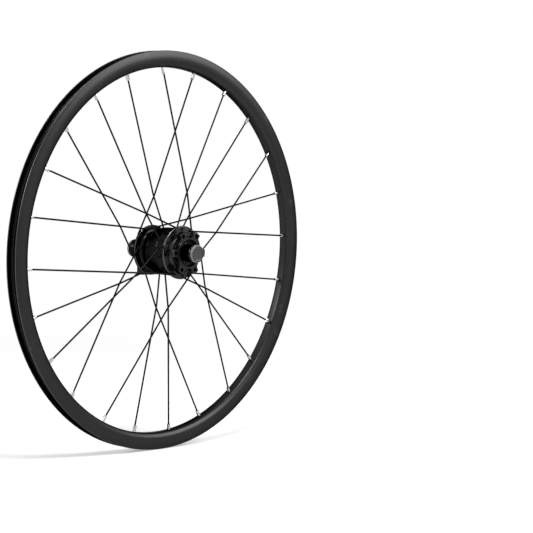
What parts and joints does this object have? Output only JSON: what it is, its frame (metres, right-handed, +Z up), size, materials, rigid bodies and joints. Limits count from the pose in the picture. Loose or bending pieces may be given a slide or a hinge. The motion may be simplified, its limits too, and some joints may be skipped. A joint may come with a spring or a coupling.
{
  "type": "dynamo front wheel",
  "caption": "Small front wheel without a tyre: box rim, crossed spokes and a generator hub with a lobed brake disc mount and a lamp connector.",
  "frame": {"origin": "on the wheel's axis, midway between the two dropout faces", "axes": "+Y along the axle towards the lamp connector side, -Y the brake disc side, +Z up, +X towards the front of the bicycle"},
  "size_m": [0.4639, 0.1072, 0.464],
  "materials": {
    "rim_black": "satin black anodised",
    "spoke_black": "black coated steel wire",
    "nipple_silver": "nickel plated brass",
    "hub_black": "polished black anodised",
    "axle_alloy": "turned alloy",
    "cap_black": "black anodised",
    "plug_grey": "matt grey plastic",
    "bearing_steel": "ground steel",
    "seal_rubber": "rubber",
    "iron": "soft iron",
    "magnet": "sintered magnet",
    "bobbin_plastic": "moulded plastic",
    "copper": "enamelled copper wire",
    "terminal_metal": "tinned metal",
    "cover_grey": "satin alloy",
    "connector_plastic": "moulded black plastic"
  },
  "bodies": {
    "axle_assembly": {"axle": "axle_alloy", "disc_side_end_cap": "cap_black", "lamp_side_end_cap": "cap_black", "disc_side_bearing_inner_ring": "bearing_steel", "lamp_side_bearing_inner_ring": "bearing_steel", "generator_core": "iron", "coil_bobbin": "bobbin_plastic", "coil_winding": "copper", "disc_side_claw_poles": "iron", "lamp_side_claw_poles": "iron", "generator_lock_ring": "iron", "generator_cover_plate": "cover_grey", "lamp_connector": "connector_plastic", "connector_terminals": "terminal_metal", "coil_leads": "copper"},
    "wheel": {"rim": "rim_black", "disc_side_outer_spokes": "spoke_black", "disc_side_inner_spokes": "spoke_black", "lamp_side_outer_spokes": "spoke_black", "lamp_side_inner_spokes": "spoke_black", "spoke_nipples": "nipple_silver", "disc_side_hub_shell": "hub_black", "lamp_side_hub_shell": "hub_black", "back_iron_ring": "iron", "magnets": "magnet", "disc_side_bearing_outer_ring": "bearing_steel", "lamp_side_bearing_outer_ring": "bearing_steel", "disc_side_seal": "seal_rubber", "lamp_side_seal": "seal_rubber"},
    "disc_side_ball_ring": {"disc_side_bearing_balls": "bearing_steel"},
    "lamp_side_ball_ring": {"lamp_side_bearing_balls": "bearing_steel"},
    "disc_side_plug": {"disc_side_dust_plug": "plug_grey"},
    "lamp_side_plug": {"lamp_side_dust_plug": "plug_grey"}
  },
  "joints": [
    {"name": "wheel_spin", "type": "hinge", "parent": "axle_assembly", "child": "wheel", "pos_m": [0, 0, 0], "axis": [0, 1, 0], "continuous": true},
    {"name": "disc_side_balls_spin", "type": "hinge", "parent": "axle_assembly", "child": "disc_side_ball_ring", "pos_m": [0, -0.0295, 0], "axis": [0, 1, 0], "continuous": true},
    {"name": "lamp_side_balls_spin", "type": "hinge", "parent": "axle_assembly", "child": "lamp_side_ball_ring", "pos_m": [0, 0.0169, 0], "axis": [0, 1, 0], "continuous": true},
    {"name": "disc_side_plug_pull", "type": "slide", "parent": "axle_assembly", "child": "disc_side_plug", "axis": [0, -1, 0], "range_m": [0, 0.13]},
    {"name": "lamp_side_plug_pull", "type": "slide", "parent": "axle_assembly", "child": "lamp_side_plug", "axis": [0, 1, 0], "range_m": [0, 0.13]}
  ],
  "couplings": [
    {"joint": "disc_side_balls_spin", "follows": "wheel_spin", "ratio": 0.5615},
    {"joint": "lamp_side_balls_spin", "follows": "wheel_spin", "ratio": 0.5615}
  ]
}
